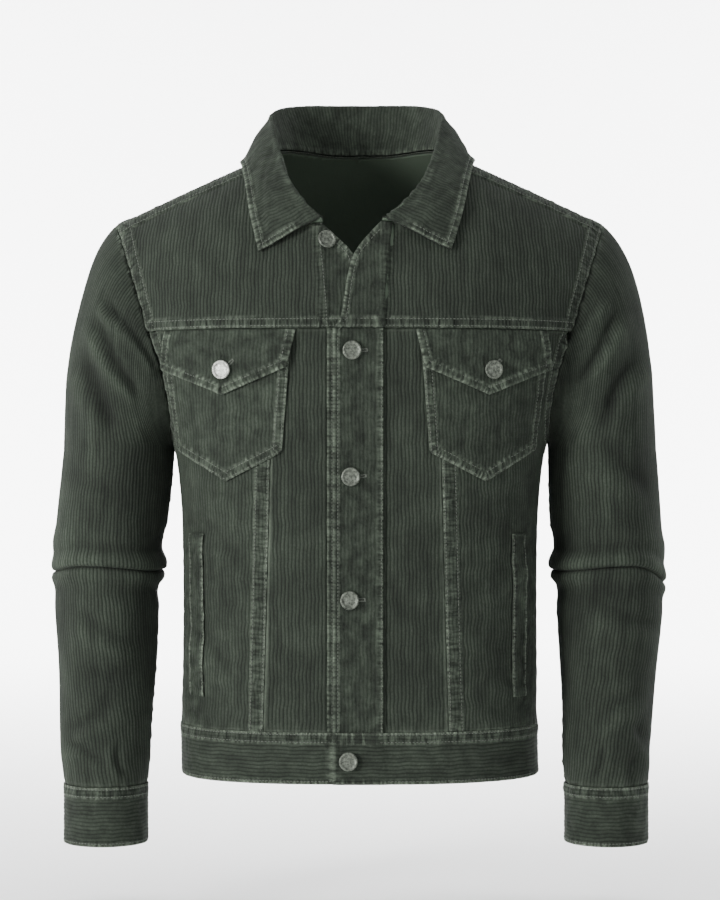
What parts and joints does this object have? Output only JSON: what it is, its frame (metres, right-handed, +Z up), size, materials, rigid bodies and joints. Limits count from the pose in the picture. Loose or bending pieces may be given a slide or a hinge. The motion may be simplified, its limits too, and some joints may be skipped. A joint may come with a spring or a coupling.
{
  "type": "corduroy jacket",
  "caption": "Waist-length corduroy trucker jacket, filled out with no wearer: folded collar, yokes, flapped chest pockets, welt pockets, button front, waistband and cuffed sleeves.",
  "frame": {"origin": "middle of the body, midway between the shoulders and level with the lowest part of the wearer's shoulders that carry it", "axes": "+Z up, +X to the wearer's left, -Y to the front"},
  "size_m": [0.6117, 0.2505, 0.7407],
  "materials": {
    "corduroy": "washed dark green-grey corduroy of 7 wales to the inch",
    "button_metal": "dull antique pewter"
  },
  "bodies": {
    "root": {"front_yoke_left": "corduroy", "front_yoke_right": "corduroy", "front_centre_left": "corduroy", "front_centre_right": "corduroy", "front_side_left": "corduroy", "front_side_right": "corduroy", "placket_left": "corduroy", "button_stand_right": "corduroy", "back_yoke": "corduroy", "back_panel": "corduroy", "waistband": "corduroy", "collar": "corduroy", "sleeve_left": "corduroy", "sleeve_right": "corduroy", "cuff_left": "corduroy", "cuff_right": "corduroy", "chest_pocket_left": "corduroy", "chest_pocket_right": "corduroy", "pocket_flap_left": "corduroy", "pocket_flap_right": "corduroy", "hand_pocket_welt_left": "corduroy", "hand_pocket_welt_right": "corduroy", "front_button_1": "button_metal", "front_button_2": "button_metal", "front_button_3": "button_metal", "front_button_4": "button_metal", "front_button_5": "button_metal", "flap_button_left": "button_metal", "flap_button_right": "button_metal"}
  },
  "joints": []
}
